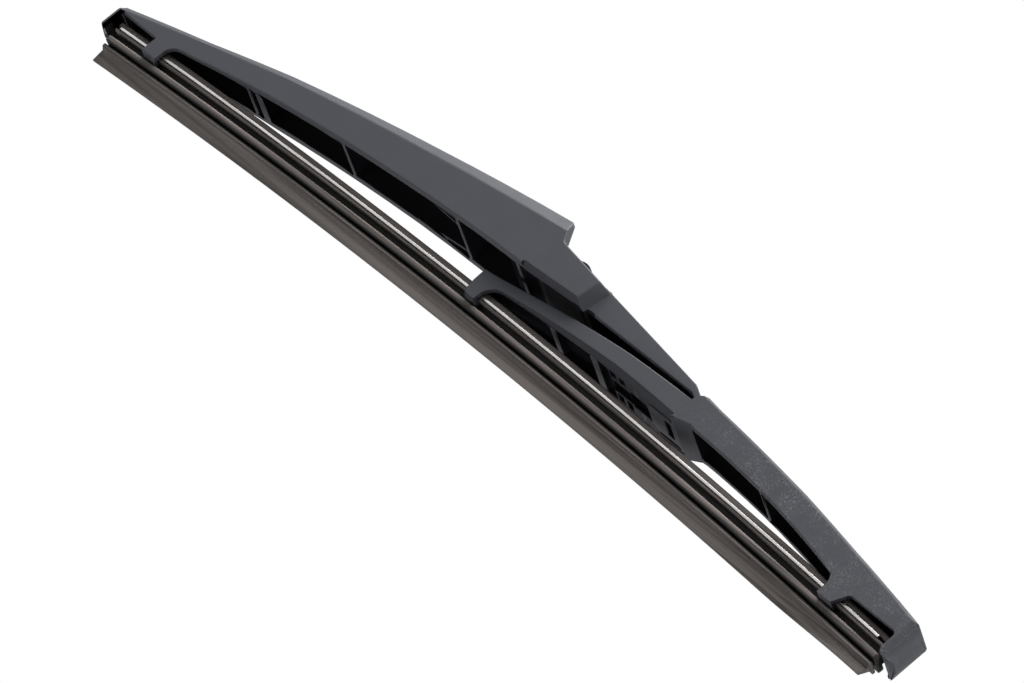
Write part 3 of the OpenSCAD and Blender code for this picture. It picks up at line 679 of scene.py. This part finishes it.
def makeBowTree():
    # Sweeps the section along the arc of the relaxed blade; the lip may lean towards its right end
    tree = bpy.data.node_groups.new("sweepAlongBow", "GeometryNodeTree")
    face = tree.interface
    face.new_socket("Section", in_out="INPUT", socket_type="NodeSocketGeometry")
    for label, value in (
        ("Length", 0.3), ("Rise", 0.0043), ("Whole Length", 0.3), ("Middle X", 0.0), ("Lip Line Z", 0.0),
        ("Lean Start", 0.1), ("Lean End", 0.15), ("Lean Side", 0.0), ("Lean Lift", 0.0),
        ("Lip Height", 0.0041), ("Shift", 0.0), ("Groove Low", 0.005), ("Groove Out", 0.003),
        ("Groove In", 0.0015), ("Wing Light", 0.007), ("Wing Dark", 0.0055),
    ):
        face.new_socket(label, in_out="INPUT", socket_type="NodeSocketFloat").default_value = value
    face.new_socket("Steps", in_out="INPUT", socket_type="NodeSocketInt").default_value = 120
    face.new_socket("Finish", in_out="INPUT", socket_type="NodeSocketMaterial")
    face.new_socket("Swept", in_out="OUTPUT", socket_type="NodeSocketGeometry")
    given = tree.nodes.new("NodeGroupInput").outputs
    result = tree.nodes.new("NodeGroupOutput")
    join = tree.links.new

    def maths(operation, first, second=None, third=None):
        return addMath(tree, operation, first, second, third)

    def position():
        return addSplit(tree, tree.nodes.new("GeometryNodeInputPosition").outputs[0])

    def vector(x, y, z):
        node = tree.nodes.new("ShaderNodeCombineXYZ")
        for slot, value in enumerate((x, y, z)):
            feed(tree, node.inputs[slot], value)
        return node.outputs[0]

    def store(geometry, name, value):
        node = tree.nodes.new("GeometryNodeStoreNamedAttribute")
        node.data_type = "FLOAT"
        node.domain = "POINT"
        node.inputs["Name"].default_value = name
        join(geometry, node.inputs["Geometry"])
        join(value, node.inputs["Value"])
        return node.outputs[0]

    # Radius of the bow from its whole length and rise
    halfWhole = maths("MULTIPLY", given["Whole Length"], 0.5)
    square = maths("MULTIPLY", halfWhole, halfWhole)
    squareRise = maths("MULTIPLY", given["Rise"], given["Rise"])
    radius = maths("DIVIDE", maths("ADD", square, squareRise), maths("MULTIPLY", given["Rise"], 2.0))

    # Height of the section's points, kept for the lean and the masks
    capture = tree.nodes.new("GeometryNodeCaptureAttribute")
    capture.domain = "POINT"
    capture.capture_items.new("FLOAT", "height")
    join(given["Section"], capture.inputs["Geometry"])
    join(position()["Y"], capture.inputs[1])
    height = capture.outputs[1]

    # Straight line of the piece's length, swept first and bent afterwards
    halfLength = maths("MULTIPLY", given["Length"], 0.5)
    line = tree.nodes.new("GeometryNodeCurvePrimitiveLine")
    join(vector(maths("MULTIPLY", halfLength, -1.0), 0, 0), line.inputs["Start"])
    join(vector(halfLength, 0, 0), line.inputs["End"])
    resample = tree.nodes.new("GeometryNodeResampleCurve")
    join(line.outputs[0], resample.inputs["Curve"])
    join(given["Steps"], resample.inputs["Count"])
    sweep = tree.nodes.new("GeometryNodeCurveToMesh")
    join(resample.outputs[0], sweep.inputs["Curve"])
    join(capture.outputs["Geometry"], sweep.inputs["Profile Curve"])
    sweep.inputs["Fill Caps"].default_value = True

    # Each point goes out from the bow's centre by its height, at its station's angle
    spot = position()
    angle = maths("DIVIDE", maths("ADD", spot["X"], given["Shift"]), radius)
    reach = maths("SUBTRACT", radius, spot["Z"])
    bentX = maths("MULTIPLY", reach, maths("SINE", angle))
    bentZ = maths("SUBTRACT", maths("MULTIPLY", reach, maths("COSINE", angle)), radius)
    bentZ = maths("ADD", bentZ, given["Rise"])

    # Lean of the lip near its right end
    share = addRange(tree, spot["X"], given["Lean Start"], given["Lean End"], curve="SMOOTHSTEP")
    amount = maths("MULTIPLY", share, addRange(tree, height, 0.0, given["Lip Height"], 1.0, 0.0))
    leanY = maths("MULTIPLY_ADD", amount, given["Lean Side"], spot["Y"])
    leanZ = maths("MULTIPLY_ADD", amount, given["Lean Lift"], bentZ)

    # Mask of painted shade in the grooves, which see little light, and under the wing
    deep = addRange(tree, maths("ABSOLUTE", spot["Y"]), given["Groove Out"], given["Groove In"])
    under = addRange(tree, height, given["Wing Light"], given["Wing Dark"])
    above = maths("GREATER_THAN", height, given["Groove Low"])
    marked = store(sweep.outputs[0], "groove", maths("MULTIPLY", maths("MAXIMUM", deep, under), above))
    marked = store(marked, "sectionHeight", height)

    place = tree.nodes.new("GeometryNodeSetPosition")
    join(marked, place.inputs["Geometry"])
    bentX = maths("ADD", bentX, given["Middle X"])
    join(vector(bentX, leanY, maths("ADD", leanZ, given["Lip Line Z"])), place.inputs["Position"])
    real = tree.nodes.new("GeometryNodeRealizeInstances")
    join(place.outputs[0], real.inputs[0])
    paint = tree.nodes.new("GeometryNodeSetMaterial")
    join(real.outputs[0], paint.inputs["Geometry"])
    join(given["Finish"], paint.inputs["Material"])
    join(paint.outputs[0], result.inputs["Swept"])
    return tree


sweepAlongBow = makeBowTree()


def sweepPiece(name, outline, values, finish):
    section = addObject(name + "Section", makeSectionCurve(name + "Section", outline))
    sweep = section.modifiers.new("sweep", "NODES")
    sweep.node_group = sweepAlongBow
    inputs = [item for item in sweepAlongBow.interface.items_tree if item.in_out == "INPUT"]
    sockets = {item.name: item.identifier for item in inputs}
    for label, value in values.items():
        sweep[sockets[label]] = value
    sweep[sockets["Finish"]] = finish
    mesh = takeMesh(section)
    work = bmesh.new()
    work.from_mesh(mesh)
    bmesh.ops.remove_doubles(work, verts=work.verts, dist=samePlace)
    bmesh.ops.recalc_face_normals(work, faces=work.faces)
    work.to_mesh(mesh)
    work.free()
    return addObject(name, mesh)


rubberLine, splineLow = rubberOutline(rubberSection)
squeegeeRubber = sweepPiece("squeegeeRubber", rubberLine, rubberSweep, bladeRubber)
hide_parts("squeegee")
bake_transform(squeegeeRubber)
print("rubber swept with", len(squeegeeRubber.data.polygons), "faces")

for name, node, side in (("splineStripNear", "spline_near", 1), ("splineStripFar", "spline_far", -1)):
    strip = sweepPiece(name, splineOutline(splineSection, splineLow, side), splineSweep, splineSteel)
    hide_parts(node)
    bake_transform(strip)
print("splines swept")

# Studio: pale floor well below the blade, white behind it, soft lamps above and beside the camera
studioChoices = {
    "ambient": 0.14,
    "floor": {
        "height": -0.85, "size": 14.0, "paleness": 0.75, "colour": (0.86, 0.86, 0.87, 1), "roughness": 0.9,
    },
    "keyLamp": {"place": (-0.10, -0.34, 1.25), "size": 2.0, "power": 74.0},
    "endLamp": {"place": (1.15, 0.45, 0.35), "size": 0.6, "power": 5.5},
}


def makeStudioWorld(ambient):
    world = bpy.data.worlds.new("studioWhite")
    bpy.context.scene.world = world
    world.use_nodes = True
    tree = world.node_tree
    tree.nodes.clear()
    rays = tree.nodes.new("ShaderNodeLightPath")
    seen = addMath(tree, "MAXIMUM", rays.outputs["Is Camera Ray"], rays.outputs["Is Glossy Ray"])
    seen = addMath(tree, "MAXIMUM", seen, rays.outputs["Is Transmission Ray"])
    strength = addRange(tree, seen, 0.0, 1.0, ambient, 1.0)
    light = tree.nodes.new("ShaderNodeBackground")
    light.inputs["Color"].default_value = (1, 1, 1, 1)
    tree.links.new(strength, light.inputs["Strength"])
    out = tree.nodes.new("ShaderNodeOutputWorld")
    tree.links.new(light.outputs[0], out.inputs["Surface"])


def addShaderMix(tree, share, first, second):
    node = tree.nodes.new("ShaderNodeMixShader")
    for slot, value in enumerate((share, first, second)):
        tree.links.new(value, node.inputs[slot])
    return node.outputs[0]


def makeFloor(choices):
    mesh = bpy.data.meshes.new("studioFloor")
    half = choices["size"] / 2
    corners = [(x * half, y * half, choices["height"]) for x, y in ((-1, -1), (1, -1), (1, 1), (-1, 1))]
    mesh.from_pydata(corners, [], [(0, 1, 2, 3)])
    floor = addObject("studioFloor", mesh)
    finish, tree, shader = newFinish("paleFloor")
    shader.inputs["Base Color"].default_value = choices["colour"]
    shader.inputs["Roughness"].default_value = choices["roughness"]
    # Pale to the camera without more light on the blade, and clear from below
    seen = tree.nodes.new("ShaderNodeLightPath").outputs["Is Camera Ray"]
    pale = tree.nodes.new("ShaderNodeEmission").outputs[0]
    clear = tree.nodes.new("ShaderNodeBsdfTransparent").outputs[0]
    below = tree.nodes.new("ShaderNodeNewGeometry").outputs["Backfacing"]
    lifted = addShaderMix(tree, addMath(tree, "MULTIPLY", seen, choices["paleness"]), shader.outputs[0], pale)
    out = [node for node in tree.nodes if node.type == "OUTPUT_MATERIAL"][0]
    tree.links.new(addShaderMix(tree, below, lifted, clear), out.inputs["Surface"])
    mesh.materials.append(finish)


def placeLamp(name, choices):
    lamp = bpy.data.lights.new(name, "AREA")
    lamp.shape = "DISK"
    lamp.size = choices["size"]
    lamp.energy = choices["power"]
    holder = addObject(name, lamp)
    place = Vector(choices["place"])
    holder.matrix_world = Matrix.Translation(place) @ place.to_track_quat("Z", "Y").to_matrix().to_4x4()


makeStudioWorld(studioChoices["ambient"])
makeFloor(studioChoices["floor"])
placeLamp("keyLamp", studioChoices["keyLamp"])
placeLamp("endLamp", studioChoices["endLamp"])
bpy.context.scene.view_settings.view_transform = "Standard"
print("studio lit")
